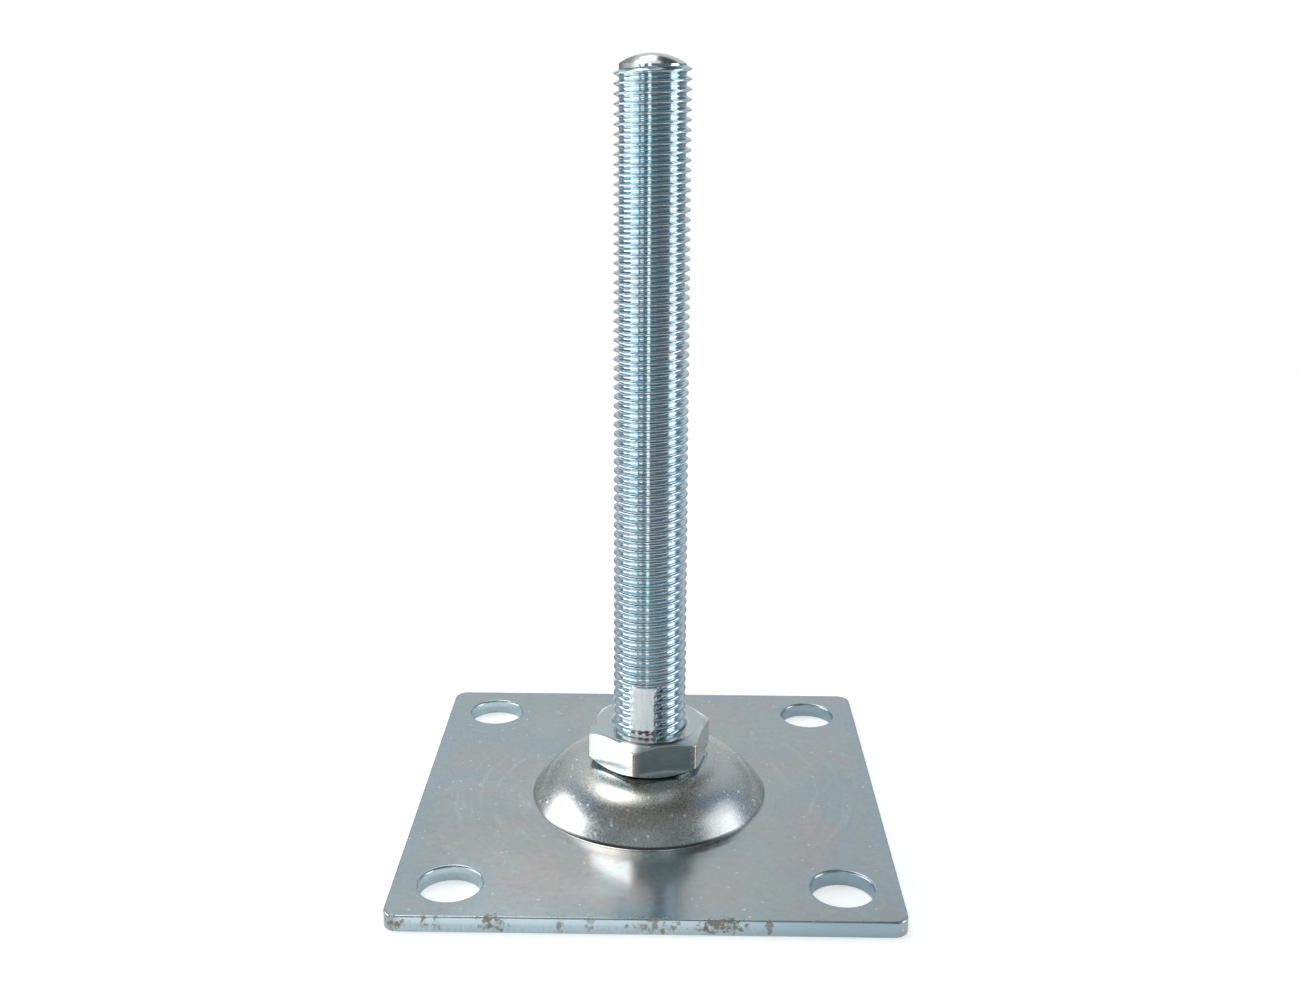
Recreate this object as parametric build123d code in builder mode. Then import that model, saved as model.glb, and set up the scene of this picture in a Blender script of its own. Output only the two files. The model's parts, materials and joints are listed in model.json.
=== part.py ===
from build123d import *
from math import radians, sqrt, tan
import os

# Adjustable post base, in millimetres: a stamped square plate with a dome in its middle, and a
# threaded spindle that turns in the dome. +Z is up, and the origin is the middle of the plate's
# underside, so the plate stands on z = 0.

# Plate: one stamping of sheet steel, sheared from above. The shears draw its upper edges down,
# which is held here as a small chamfer all round
plate_width = 100.0
sheet_thickness = 3.2
plate_corner_radius = 3.0
sheared_edge_chamfer = 0.4

# Fixing holes, punched from above
fixing_hole_diameter = 12.5
fixing_hole_inset = 11.5
punched_rim_chamfer = 0.5

# Dome, pressed up round the spindle. A flat seat in its middle carries the nut, and from there it
# curves down in one wide shoulder to its flank, which is at its steepest at the base. The base
# diameter is that of the corner between flank and plate before it is rounded.
dome_base_diameter = 51.2
dome_rise = 8.5
dome_flank_angle = 53.0
seat_flat_margin = 0.8
dome_base_bend_radius = 1.2
flat_around_dome = 4.0

# Nut: thin hexagon nut, chamfered and countersunk on both faces, fixed on the thread
nut_across_flats = 24.0
nut_height = 8.0
nut_face_diameter = 22.8
nut_countersink_diameter = 17.3
nut_chamfer_angle = 30.0
nut_rotation = 16.9
nut_bore_clearance = 0.05

# Spindle: its thread is held here as its outer cylinder, and inside the nut, where the two threads
# mesh, as the pitch cylinder that they share
thread_diameter = 15.8
thread_pitch_diameter = 14.7
thread_root_diameter = 13.5
thread_above_nut = 143.0
point_sphere_radius = 12.0
point_chamfer_height = 0.95
neck_diameter = 12.0
neck_into_nut = 2.5
shoulder_chamfer = 0.4

# Riveted end of the spindle, with a loose washer between it and the dome
washer_outer_diameter = 24.0
washer_thickness = 2.5
washer_edge_chamfer = 0.3
rivet_head_diameter = 19.0
rivet_head_height = 3.8
rivet_head_chamfer = 1.6

# Clearances
neck_hole_clearance = 0.1
washer_bore_clearance = 0.3
nut_seat_clearance = 0.1
washer_seat_clearance = 0.2

# Heights that the pieces share, from the underside up
seat_underside = dome_rise
seat_top = dome_rise + sheet_thickness
nut_bottom = seat_top + nut_seat_clearance
nut_top = nut_bottom + nut_height
spindle_top = nut_top + thread_above_nut
washer_top = seat_underside - washer_seat_clearance
washer_bottom = washer_top - washer_thickness
rivet_head_bottom = washer_bottom - rivet_head_height

# Radii that the pieces share
dome_hole_radius = neck_diameter / 2 + neck_hole_clearance
thread_radius = thread_diameter / 2
pitch_radius = thread_pitch_diameter / 2
nut_face_radius = nut_face_diameter / 2


# The dome's section keeps the sheet's thickness: the inner corners of the flank lie nearer the
# axis by the thickness times the tangent of half its angle, and bend on the same centres. The
# shoulder is as wide as the seat's flat and the flank's corner above it allow.
flank = radians(dome_flank_angle)
dome_base_radius = dome_base_diameter / 2
seat_flat_radius = nut_face_radius + seat_flat_margin
flank_corner_radius = dome_base_radius - dome_rise / tan(flank)
shoulder_radius = (flank_corner_radius - seat_flat_radius) / tan(flank / 2)
flank_shift = sheet_thickness * tan(flank / 2)
blank_radius = dome_base_radius + flat_around_dome

with BuildPart() as base_plate:
    with BuildSketch():
        RectangleRounded(plate_width, plate_width, plate_corner_radius)
    extrude(amount=sheet_thickness)
    sheared_face = base_plate.faces().sort_by(Axis.Z)[-1]
    chamfer(sheared_face.edges(), sheared_edge_chamfer)

    hole_spacing = plate_width - 2 * fixing_hole_inset
    with BuildSketch():
        with GridLocations(hole_spacing, hole_spacing, 2, 2):
            Circle(fixing_hole_diameter / 2)
    extrude(amount=sheet_thickness, mode=Mode.SUBTRACT)
    upper_edges = base_plate.edges().filter_by(GeomType.CIRCLE).group_by(Axis.Z)[-1]
    punched_rims = upper_edges.filter_by(lambda edge: edge.is_closed)
    chamfer(punched_rims, punched_rim_chamfer)

    with BuildSketch():
        Circle(blank_radius)
    extrude(amount=sheet_thickness, mode=Mode.SUBTRACT)
    with BuildSketch(Plane.XZ):
        with BuildLine():
            upper_side = FilletPolyline(
                (blank_radius, sheet_thickness),
                (dome_base_radius, sheet_thickness),
                (flank_corner_radius, seat_top),
                (dome_hole_radius, seat_top),
                radius=(dome_base_bend_radius, shoulder_radius),
            )
            lower_side = FilletPolyline(
                (dome_hole_radius, seat_underside),
                (flank_corner_radius - flank_shift, seat_underside),
                (dome_base_radius - flank_shift, 0),
                (blank_radius, 0),
                radius=(
                    shoulder_radius - sheet_thickness,
                    dome_base_bend_radius + sheet_thickness,
                ),
            )
            Line(upper_side @ 1, lower_side @ 0)
            Line(lower_side @ 1, upper_side @ 0)
        make_face()
    revolve(axis=Axis.Z)


# The nut is a hexagon prism cut back by one turned shape: two cones that take off its corners,
# with the bore and its countersinks through the middle.
with BuildPart() as hexagon_nut:
    with BuildSketch(Plane.XY.offset(nut_bottom)):
        RegularPolygon(
            nut_across_flats / 2, 6, major_radius=False, rotation=nut_rotation
        )
    extrude(amount=nut_height)

    cone_steepness = tan(radians(nut_chamfer_angle))
    cone_meeting_radius = nut_face_radius + nut_height / 2 / cone_steepness
    bore_radius = pitch_radius + nut_bore_clearance
    countersink_radius = nut_countersink_diameter / 2
    countersink_depth = (countersink_radius - bore_radius) * cone_steepness
    with BuildSketch(Plane.XZ):
        with BuildLine():
            Polyline(
                (bore_radius, nut_bottom + countersink_depth),
                (countersink_radius, nut_bottom),
                (nut_face_radius, nut_bottom),
                (cone_meeting_radius, nut_bottom + nut_height / 2),
                (nut_face_radius, nut_top),
                (countersink_radius, nut_top),
                (bore_radius, nut_top - countersink_depth),
                close=True,
            )
        make_face()
    revolve(axis=Axis.Z, mode=Mode.INTERSECT)


# The spindle is turned: riveted head, neck through washer and dome, shoulder inside the nut,
# thread within the nut, free thread above it, a chamfer down to the root and a rounded point.
with BuildPart() as spindle:
    neck_radius = neck_diameter / 2
    head_radius = rivet_head_diameter / 2
    root_radius = thread_root_diameter / 2
    shoulder = nut_bottom + neck_into_nut
    point_height = point_sphere_radius - sqrt(point_sphere_radius**2 - root_radius**2)
    point_start = spindle_top - point_height
    thread_end = point_start - point_chamfer_height
    with BuildSketch(Plane.XZ):
        with BuildLine():
            Polyline(
                (0, rivet_head_bottom),
                (head_radius - rivet_head_chamfer, rivet_head_bottom),
                (head_radius, rivet_head_bottom + rivet_head_chamfer),
                (head_radius, washer_bottom),
                (neck_radius, washer_bottom),
                (neck_radius, shoulder),
                (pitch_radius - shoulder_chamfer, shoulder),
                (pitch_radius, shoulder + shoulder_chamfer),
                (pitch_radius, nut_top),
                (thread_radius, nut_top + thread_radius - pitch_radius),
                (thread_radius, thread_end),
                (root_radius, point_start),
            )
            RadiusArc(
                (root_radius, point_start), (0, spindle_top), -point_sphere_radius
            )
            Line((0, spindle_top), (0, rivet_head_bottom))
        make_face()
    revolve(axis=Axis.Z)


# The washer lies on the riveted head, its blunted edges towards the dome.
with BuildPart() as bearing_washer:
    with BuildSketch(Plane.XY.offset(washer_bottom)):
        Circle(washer_outer_diameter / 2)
        Circle(neck_diameter / 2 + washer_bore_clearance, mode=Mode.SUBTRACT)
    extrude(amount=washer_thickness)
    chamfer(bearing_washer.faces().sort_by(Axis.Z)[-1].edges(), washer_edge_chamfer)


os.makedirs("parts", exist_ok=True)

base_plate.part.label = "base_plate"
export_step(base_plate.part, "parts/base_plate.step")

hexagon_nut.part.label = "hexagon_nut"
export_step(hexagon_nut.part, "parts/hexagon_nut.step")

spindle.part.label = "spindle"
export_step(spindle.part, "parts/spindle.step")

bearing_washer.part.label = "bearing_washer"
export_step(bearing_washer.part, "parts/bearing_washer.step")
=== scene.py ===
import json
from math import atan2, ceil, cos, degrees, pi, radians, sin, sqrt, tan

import bmesh
import bpy
from mathutils import Matrix, Vector
from mathutils.geometry import delaunay_2d_cdt


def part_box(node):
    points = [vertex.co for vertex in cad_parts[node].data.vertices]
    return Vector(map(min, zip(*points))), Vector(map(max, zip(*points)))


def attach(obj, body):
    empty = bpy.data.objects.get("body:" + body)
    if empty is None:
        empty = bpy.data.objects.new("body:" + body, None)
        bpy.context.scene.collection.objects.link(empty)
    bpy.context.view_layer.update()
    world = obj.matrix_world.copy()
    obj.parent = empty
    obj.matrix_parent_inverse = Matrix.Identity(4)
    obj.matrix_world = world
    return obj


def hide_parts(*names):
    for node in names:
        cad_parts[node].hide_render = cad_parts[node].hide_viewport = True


# An adjustable post base: a stamped square plate with a pressed dome, and in the dome a threaded
# spindle with its hexagon nut and a washer, all in bright zinc. Lengths are in metres.

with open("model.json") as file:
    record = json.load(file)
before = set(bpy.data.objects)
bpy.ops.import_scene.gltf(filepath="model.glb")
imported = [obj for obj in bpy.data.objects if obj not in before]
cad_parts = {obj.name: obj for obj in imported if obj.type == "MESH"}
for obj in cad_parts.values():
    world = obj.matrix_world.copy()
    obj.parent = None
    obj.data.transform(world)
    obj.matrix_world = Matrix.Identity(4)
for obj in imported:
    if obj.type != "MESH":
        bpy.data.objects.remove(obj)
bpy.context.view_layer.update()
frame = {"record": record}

MM = 0.001

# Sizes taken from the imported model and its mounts
plate_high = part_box("base_plate")[1]
spindle_low, spindle_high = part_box("spindle")
nut_low, nut_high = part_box("hexagon_nut")
washer_low, washer_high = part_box("bearing_washer")
mounts = {mount["name"]: mount["dims"] for mount in frame["record"]["mounts"]}
PLATE_HALF = plate_high.x
SEAT_TOP = plate_high.z
NUT_BOTTOM = nut_low.z
NUT_TOP = nut_high.z
SPINDLE_TOP = spindle_high.z
HEAD_BOTTOM = spindle_low.z
HEAD_RADIUS = spindle_high.x
WASHER_RADIUS = washer_high.x
WASHER_BOTTOM = washer_low.z
WASHER_TOP = washer_high.z
HOLE_RADIUS = mounts["fixing_holes"]["hole_r_mm"] * MM
HOLE_SPACING = mounts["fixing_holes"]["spacing_x_mm"] * MM
CREST_RADIUS = mounts["threaded_spindle"]["r_mm"] * MM

# Plate and dome. The bend at the dome's base is tighter than the model's, and the rolled edge and
# rims stand for its chamfers.
SHEET = 3.2 * MM
CORNER_RADIUS = 3.0 * MM
EDGE_ROLL = 0.4 * MM
RIM_ROLL = 0.5 * MM
BURR_ROUNDING = 0.12 * MM
DOME_BASE_RADIUS = 25.6 * MM
DOME_FLANK_ANGLE = radians(53)
BASE_BEND_RADIUS = 0.7 * MM
FLAT_AROUND_DOME = 4.0 * MM
BLANK_RADIUS = DOME_BASE_RADIUS + FLAT_AROUND_DOME
DOME_HOLE_RADIUS = 6.1 * MM

# Nut
NUT_HALF_FLATS = 12.0 * MM
NUT_FACE_RADIUS = 11.4 * MM
SEAT_FLAT_RADIUS = NUT_FACE_RADIUS + 0.8 * MM
NUT_COUNTERSINK_RADIUS = 8.65 * MM
NUT_BORE_RADIUS = 7.4 * MM
NUT_CHAMFER = radians(30)
NUT_TURN = radians(16.9)

# Spindle and washer. The shoulder's cone starts a little inside the root.
PITCH = 2.0 * MM
ROOT_RADIUS = 6.77 * MM
THREAD_START = NUT_BOTTOM + 2.5 * MM
SHOULDER_INSET = 0.1 * MM
NECK_RADIUS = 6.0 * MM
RIVET_HEAD_CHAMFER = 1.6 * MM
POINT_SPHERE_RADIUS = 12.0 * MM
POINT_CHAMFER_HEIGHT = 0.95 * MM
POINT_HEIGHT = POINT_SPHERE_RADIUS - sqrt(POINT_SPHERE_RADIUS**2 - ROOT_RADIUS**2)
POINT_START = SPINDLE_TOP - POINT_HEIGHT
WASHER_BORE_RADIUS = 6.3 * MM
WASHER_EDGE_ROUNDING = 0.3 * MM

WELD = 1e-6


# Node helpers

INTEGER = "NodeSocketInt"
FLOAT = "NodeSocketFloat"
VECTOR = "NodeSocketVector"
COLOR = "NodeSocketColor"


def add_node(tree, kind, inputs=None, **settings):
    """Adds one node. Each input is a value, or a socket to link from."""
    new = tree.nodes.new(kind)
    for name, value in settings.items():
        setattr(new, name, value)
    for key, value in (inputs or {}).items():
        if isinstance(value, bpy.types.NodeSocket):
            tree.links.new(value, new.inputs[key])
        else:
            new.inputs[key].default_value = value
    return new


def result_of(tree, kind, inputs=None, **settings):
    """The first output of a new node."""
    return add_node(tree, kind, inputs, **settings).outputs[0]


def follow(kind, inputs, **settings):
    """The outputs of a new node, in the tree of the sockets that it is given."""
    sockets = [value for value in inputs.values() if isinstance(value, bpy.types.NodeSocket)]
    return add_node(sockets[0].id_data, kind, inputs, **settings).outputs


def connect(sockets, values):
    """Links each value to the socket of its name."""
    for name, value in values.items():
        value.id_data.links.new(value, sockets[name])


def calculate(operation, *values):
    return follow("ShaderNodeMath", dict(enumerate(values)), operation=operation)[0]


def plus(first, second):
    return calculate("ADD", first, second)


def minus(first, second):
    return calculate("SUBTRACT", first, second)


def times(first, second):
    return calculate("MULTIPLY", first, second)


def absolute(value):
    return calculate("ABSOLUTE", value)


def either(*masks):
    """The strongest of several masks."""
    strongest = masks[0]
    for mask in masks[1:]:
        strongest = calculate("MAXIMUM", strongest, mask)
    return strongest


def together(*masks):
    """The product of several masks."""
    product = masks[0]
    for mask in masks[1:]:
        product = times(product, mask)
    return product


def vector_math(operation, *values):
    return follow("ShaderNodeVectorMath", dict(enumerate(values)), operation=operation)


def combine(x, y, z=0.0):
    return follow("ShaderNodeCombineXYZ", {0: x, 1: y, 2: z})[0]


def split(vector):
    return follow("ShaderNodeSeparateXYZ", {0: vector})


def remap(value, low, high, to_low=0.0, to_high=1.0, smooth=True):
    """Maps a value from one range to another, held at both ends."""
    inputs = {"Value": value, "From Min": low, "From Max": high, "To Min": to_low, "To Max": to_high}
    kind = "SMOOTHSTEP" if smooth else "LINEAR"
    return follow("ShaderNodeMapRange", inputs, interpolation_type=kind)["Result"]


def fade(value, low, high):
    """A mask that is full below the low value and gone above the high one."""
    return remap(value, low, high, 1.0, 0.0)


def mix_color(factor, first, second):
    return follow("ShaderNodeMix", {0: factor, 6: first, 7: second}, data_type="RGBA")[2]


def mix_value(factor, first, second):
    return follow("ShaderNodeMix", {0: factor, 2: first, 3: second})[0]


def noise(place, size, detail=2.0, distortion=0.0):
    """Soft noise whose patches are about the given size; its colour holds three of them."""
    linked = isinstance(size, bpy.types.NodeSocket)
    scale = calculate("DIVIDE", 1.0, size) if linked else 1.0 / size
    inputs = {"Vector": place, "Scale": scale, "Detail": detail, "Distortion": distortion}
    return follow("ShaderNodeTexNoise", inputs)


def curve_of(value, points):
    """A float curve with straight runs between the given points."""
    new = add_node(value.id_data, "ShaderNodeFloatCurve", {"Value": value})
    curve = new.mapping.curves[0]
    for index, point in enumerate(points):
        if index < 2:
            curve.points[index].location = point
        else:
            curve.points.new(*point)
    for point in curve.points:
        point.handle_type = "VECTOR"
    new.mapping.update()
    return new.outputs[0]


def new_tree(name, kind, inputs, outputs):
    """A node group with named sockets; returns the tree, what it is given and what it gives."""
    tree = bpy.data.node_groups.new(name, kind)
    for socket_name, socket_type, default in inputs:
        socket = tree.interface.new_socket(name=socket_name, in_out="INPUT", socket_type=socket_type)
        if default is not None:
            socket.default_value = default
    for socket_name, socket_type in outputs:
        tree.interface.new_socket(name=socket_name, in_out="OUTPUT", socket_type=socket_type)
    start = tree.nodes.new("NodeGroupInput")
    end = tree.nodes.new("NodeGroupOutput")
    return tree, start.outputs, end.inputs


# Mesh helpers


def object_from(name, mesh):
    piece = bpy.data.objects.new(name, mesh)
    bpy.context.scene.collection.objects.link(piece)
    return piece


def mesh_from(name, bm):
    mesh = bpy.data.meshes.new(name)
    bm.to_mesh(mesh)
    bm.free()
    return mesh


def closed_piece(name, bm, smooth_angle):
    """Welds a finished bmesh, turns its faces outwards and makes it an object."""
    bmesh.ops.remove_doubles(bm, verts=bm.verts, dist=WELD)
    bmesh.ops.recalc_face_normals(bm, faces=bm.faces)
    mesh = mesh_from(name, bm)
    mesh.shade_smooth()
    mesh.set_sharp_from_angle(angle=radians(smooth_angle))
    return object_from(name, mesh)


def arc(centre, radius, start, end, steps):
    """Points of an arc in a section, from one angle to another, in degrees."""
    angles = [radians(start + (end - start) * step / steps) for step in range(steps + 1)]
    return [(centre[0] + radius * cos(a), centre[1] + radius * sin(a)) for a in angles]


def ring(radius, height, segments, centre=(0.0, 0.0)):
    turns = [2 * pi * index / segments for index in range(segments)]
    return [(centre[0] + radius * cos(a), centre[1] + radius * sin(a), height) for a in turns]


def skin(bm, rings, closed=False):
    """Joins rings of equally many points by quads; a ring of one point is a pole."""
    rows = [[bm.verts.new(point) for point in points] for points in rings]
    pairs = list(zip(rows, rows[1:]))
    if closed:
        pairs.append((rows[-1], rows[0]))
    for lower, upper in pairs:
        count = max(len(lower), len(upper))
        for index in range(count):
            after = (index + 1) % count
            corners = [
                lower[index % len(lower)],
                lower[after % len(lower)],
                upper[after % len(upper)],
                upper[index % len(upper)],
            ]
            corners = list(dict.fromkeys(corners))
            if len(corners) > 2:
                bm.faces.new(corners)


def lathe(bm, outline, segments, closed=False):
    """Turns an outline of (radius, height) points about the vertical axis."""
    rings = [
        ring(radius, height, segments) if radius > 0 else [(0.0, 0.0, height)]
        for radius, height in outline
    ]
    skin(bm, rings, closed)


def plain_mesh_of(piece):
    """The piece's mesh with its modifiers worked in."""
    evaluated = piece.evaluated_get(bpy.context.evaluated_depsgraph_get())
    mesh = bpy.data.meshes.new_from_object(evaluated)
    piece.modifiers.clear()
    return mesh


def finish_piece(piece, body, node, material):
    """Gives a piece its material, and puts it in place of its node in the model."""
    piece.data.materials.clear()
    piece.data.materials.append(material)
    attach(piece, body)
    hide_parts(node)


# Base plate

ROUND_STEPS = 8
BURR_STEPS = 3
HOLE_SEGMENTS = 96
DOME_SEGMENTS = 192
EDGE_STEP = 2.0 * MM
FILL_INSIDE = 1
FILL_CLOSENESS = 1e-9


def dome_section():
    """The dome's sheet in section: its upper side from the outside in, and its lower side back out."""
    rise = SEAT_TOP - SHEET
    half = DOME_FLANK_ANGLE / 2
    steep = 90 - degrees(DOME_FLANK_ANGLE)
    shoulder = (DOME_BASE_RADIUS - rise / tan(DOME_FLANK_ANGLE) - SEAT_FLAT_RADIUS) / tan(half)
    base_centre = (DOME_BASE_RADIUS + BASE_BEND_RADIUS * tan(half), SHEET + BASE_BEND_RADIUS)
    shoulder_centre = (SEAT_FLAT_RADIUS, SEAT_TOP - shoulder)
    upper = [(BLANK_RADIUS, SHEET)]
    upper += arc(base_centre, BASE_BEND_RADIUS, 270, 180 + steep, ROUND_STEPS)
    upper += arc(shoulder_centre, shoulder, steep, 90, 4 * ROUND_STEPS)
    upper += [(DOME_HOLE_RADIUS, SEAT_TOP)]
    lower = [(DOME_HOLE_RADIUS, rise)]
    lower += arc(shoulder_centre, shoulder - SHEET, 90, steep, 2 * ROUND_STEPS)
    lower += arc(base_centre, BASE_BEND_RADIUS + SHEET, 180 + steep, 270, 2 * ROUND_STEPS)
    lower += [(BLANK_RADIUS, 0.0)]
    return upper + lower


def plate_outline(inset, height):
    """The plate's rounded square, moved inwards by the inset."""
    half = PLATE_HALF - inset
    radius = CORNER_RADIUS - inset
    straight = 2 * (PLATE_HALF - CORNER_RADIUS)
    steps = ceil(straight / EDGE_STEP)
    points = []
    for corner in range(4):
        turn = Matrix.Rotation(corner * pi / 2, 3, "Z")
        rounded = arc((half - radius, half - radius), radius, 0, 90, ROUND_STEPS)
        side = [(half - radius - straight * step / steps, half) for step in range(1, steps)]
        points += [turn @ Vector((x, y, height)) for x, y in rounded + side]
    return points


def plate_wall():
    """Outlines down the plate's sheared wall: a rolled edge above, a sharp burr side below."""
    roll = arc((0, SHEET - EDGE_ROLL), EDGE_ROLL, 90, 0, ROUND_STEPS)
    burr = arc((0, BURR_ROUNDING), BURR_ROUNDING, 0, -90, BURR_STEPS)
    insets = [(EDGE_ROLL - out, height) for out, height in roll]
    insets += [(BURR_ROUNDING - out, height) for out, height in burr]
    return [plate_outline(inset, height) for inset, height in insets]


def hole_wall(centre):
    """Rings down a punched hole: a rolled rim above, a sharp burr side below."""
    rim = arc((RIM_ROLL, SHEET - RIM_ROLL), RIM_ROLL, 90, 180, ROUND_STEPS)
    burr = arc((BURR_ROUNDING, BURR_ROUNDING), BURR_ROUNDING, 180, 270, BURR_STEPS)
    return [ring(HOLE_RADIUS + out, height, HOLE_SEGMENTS, centre) for out, height in rim + burr]


def flat_between(bm, height, loops):
    """Fills the flat of one side of the plate between its outline, the first loop, and its holes."""
    points = []
    edges = []
    loop_of = []
    for number, loop in enumerate(loops):
        first = len(points)
        points += [Vector(point[:2]) for point in loop]
        edges += [(first + i, first + (i + 1) % len(loop)) for i in range(len(loop))]
        loop_of += [number] * len(loop)
    corners, _, faces, origins, *_ = delaunay_2d_cdt(points, edges, [], FILL_INSIDE, FILL_CLOSENESS)
    verts = [bm.verts.new((x, y, height)) for x, y in corners]
    for face in faces:
        touched = {loop_of[origins[i][0]] for i in face}
        if len(touched) > 1 or touched == {0}:
            bm.faces.new([verts[i] for i in face])


def make_plate(material):
    bm = bmesh.new()
    lathe(bm, dome_section(), DOME_SEGMENTS)
    skin(bm, plate_wall())
    middle = HOLE_SPACING / 2
    centres = [(x, y) for x in (-middle, middle) for y in (-middle, middle)]
    for centre in centres:
        skin(bm, hole_wall(centre))
    above = (SHEET, EDGE_ROLL, RIM_ROLL)
    below = (0.0, BURR_ROUNDING, BURR_ROUNDING)
    for height, inset, rim in (above, below):
        holes = [ring(BLANK_RADIUS, height, DOME_SEGMENTS)]
        holes += [ring(HOLE_RADIUS + rim, height, HOLE_SEGMENTS, centre) for centre in centres]
        flat_between(bm, height, [plate_outline(inset, height)] + holes)
    piece = closed_piece("stamped_plate", bm, smooth_angle=60)
    piece.modifiers.new("Even shading", "WEIGHTED_NORMAL").keep_sharp = True
    piece.data = plain_mesh_of(piece)
    finish_piece(piece, "base", "base_plate", material)


# Hexagon nut

NUT_FLAT_STEPS = 8
NUT_CORNER_STEPS = 6
NUT_CORNER_ROUNDING = 0.8 * MM
NUT_EDGE_ROUNDING = 0.15 * MM
NUT_EDGE_STEPS = 3
NUT_EDGE_ANGLE = 20


def hexagon_section():
    """Angles and reaches round the nut, its flats joined by rounded corners."""
    corner_centre = (NUT_HALF_FLATS - NUT_CORNER_ROUNDING) / cos(pi / 6)
    rounding = arc((corner_centre, 0.0), NUT_CORNER_ROUNDING, -30, 30, NUT_CORNER_STEPS)
    flat_end = sqrt(rounding[-1][0] ** 2 + rounding[-1][1] ** 2)
    half_flat = sqrt(flat_end**2 - NUT_HALF_FLATS**2)
    section = []
    for side in range(6):
        corner = NUT_TURN + side * pi / 3
        section += [(corner + atan2(y, x), sqrt(x * x + y * y)) for x, y in rounding]
        for step in range(1, NUT_FLAT_STEPS):
            along = half_flat * (2 * step / NUT_FLAT_STEPS - 1)
            angle = corner + pi / 6 + atan2(along, NUT_HALF_FLATS)
            section.append((angle, sqrt(NUT_HALF_FLATS**2 + along**2)))
    return section


def make_nut(material):
    section = hexagon_section()
    sink = (NUT_COUNTERSINK_RADIUS - NUT_BORE_RADIUS) * tan(NUT_CHAMFER)

    def round_ring(radius, height):
        return [(radius * cos(angle), radius * sin(angle), height) for angle, _ in section]

    def hexagon_ring(face, side):
        drop = [side * (reach - NUT_FACE_RADIUS) * tan(NUT_CHAMFER) for _, reach in section]
        return [
            (reach * cos(angle), reach * sin(angle), face + fall)
            for (angle, reach), fall in zip(section, drop)
        ]

    rings = [
        round_ring(NUT_BORE_RADIUS, NUT_BOTTOM + sink),
        round_ring(NUT_COUNTERSINK_RADIUS, NUT_BOTTOM),
        round_ring(NUT_FACE_RADIUS, NUT_BOTTOM),
        hexagon_ring(NUT_BOTTOM, 1),
        hexagon_ring(NUT_TOP, -1),
        round_ring(NUT_FACE_RADIUS, NUT_TOP),
        round_ring(NUT_COUNTERSINK_RADIUS, NUT_TOP),
        round_ring(NUT_BORE_RADIUS, NUT_TOP - sink),
    ]
    bm = bmesh.new()
    skin(bm, rings, closed=True)
    piece = closed_piece("thin_hexagon_nut", bm, NUT_EDGE_ANGLE)
    bevel = piece.modifiers.new("Edge rounding", "BEVEL")
    bevel.width = NUT_EDGE_ROUNDING
    bevel.segments = NUT_EDGE_STEPS
    bevel.limit_method = "ANGLE"
    bevel.angle_limit = radians(NUT_EDGE_ANGLE)
    bevel.harden_normals = True
    piece.data = plain_mesh_of(piece)
    finish_piece(piece, "spindle", "hexagon_nut", material)


# Spindle: the thread is a strip that climbs round the axis, one pitch wide. It starts some turns
# below the shoulder and ends some above the start of the point, and is held between the two.

THREAD_SEGMENTS = 72
THREAD_PHASE = 0.22
SPARE_TURNS = 2
LAST_TURN = 74.25
RUN_OUT_TURNS = 0.2
SAME_HEIGHT = 1e-7

# Thread profile, in shares of the pitch across and of the thread's depth up
PROFILE_ROWS = 10
CREST_FLAT = 0.12
CREST_ROUNDING = 0.03
ROOT_FLAT = 0.36
ROOT_ROUNDING = 0.09
ROOT_HOLLOW = 0.02
FLANK_ROW = 0.28

# Patch closed above the nut, with how far its sides, top and face wander, and how soft they are
PATCH_ANGLE = radians(-100.5)
PATCH_HALF_WIDTH = radians(20.5)
PATCH_TAPER = radians(12)
PATCH_TOP = NUT_TOP + 10.8 * MM
PATCH_RADIUS = CREST_RADIUS - 0.12 * MM
SIDE_WANDER = 0.06
TOP_WANDER = 0.5 * MM
FACE_WANDER = 0.16 * MM
TOP_SOFTNESS = 0.15 * MM
SIDE_SOFTNESS = 0.04
END_SOFTNESS = 0.02
WANDER_ROUND = 8.0
WANDER_UP = 1.2 / MM


def thread_rows():
    """Where the strip's rows stand: closer at the root and the crest than on the flanks."""
    rows = [0.0, ROOT_FLAT / 4, ROOT_FLAT / 2, FLANK_ROW, 0.5 - CREST_FLAT / 2, 0.5]
    rows += [1 - row for row in reversed(rows[:-1])]
    return [(index / PROFILE_ROWS, row) for index, row in enumerate(rows)]


def thread_profile():
    """How far the strip rises from root to crest, at places across its pitch."""
    half = [
        (0.0, 0.0),
        (ROOT_FLAT / 4, ROOT_HOLLOW),
        (ROOT_FLAT / 2, ROOT_ROUNDING),
        (0.5 - CREST_FLAT / 2, 1 - CREST_ROUNDING),
    ]
    return half + [(0.5, 1.0)] + [(1 - across, rise) for across, rise in reversed(half)]


def thread_inputs(material):
    """The thread's inputs: name, kind of socket and value."""
    return [
        ("Segments", INTEGER, THREAD_SEGMENTS),
        ("Turns", INTEGER, ceil((POINT_START - THREAD_START) / PITCH) + 2 * SPARE_TURNS),
        ("Pitch", FLOAT, PITCH),
        ("Phase", FLOAT, THREAD_PHASE),
        ("Crest Radius", FLOAT, CREST_RADIUS),
        ("Root Radius", FLOAT, ROOT_RADIUS),
        ("Start", FLOAT, THREAD_START),
        ("End", FLOAT, POINT_START),
        ("Chamfer Height", FLOAT, POINT_CHAMFER_HEIGHT),
        ("Chamfer Start", FLOAT, POINT_START - POINT_CHAMFER_HEIGHT),
        ("Patch Angle", FLOAT, PATCH_ANGLE),
        ("Patch Half Width", FLOAT, PATCH_HALF_WIDTH),
        ("Patch Top", FLOAT, PATCH_TOP),
        ("Patch Radius", FLOAT, PATCH_RADIUS),
        ("Last Turn", FLOAT, LAST_TURN),
        ("Material", "NodeSocketMaterial", material),
    ]


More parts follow.
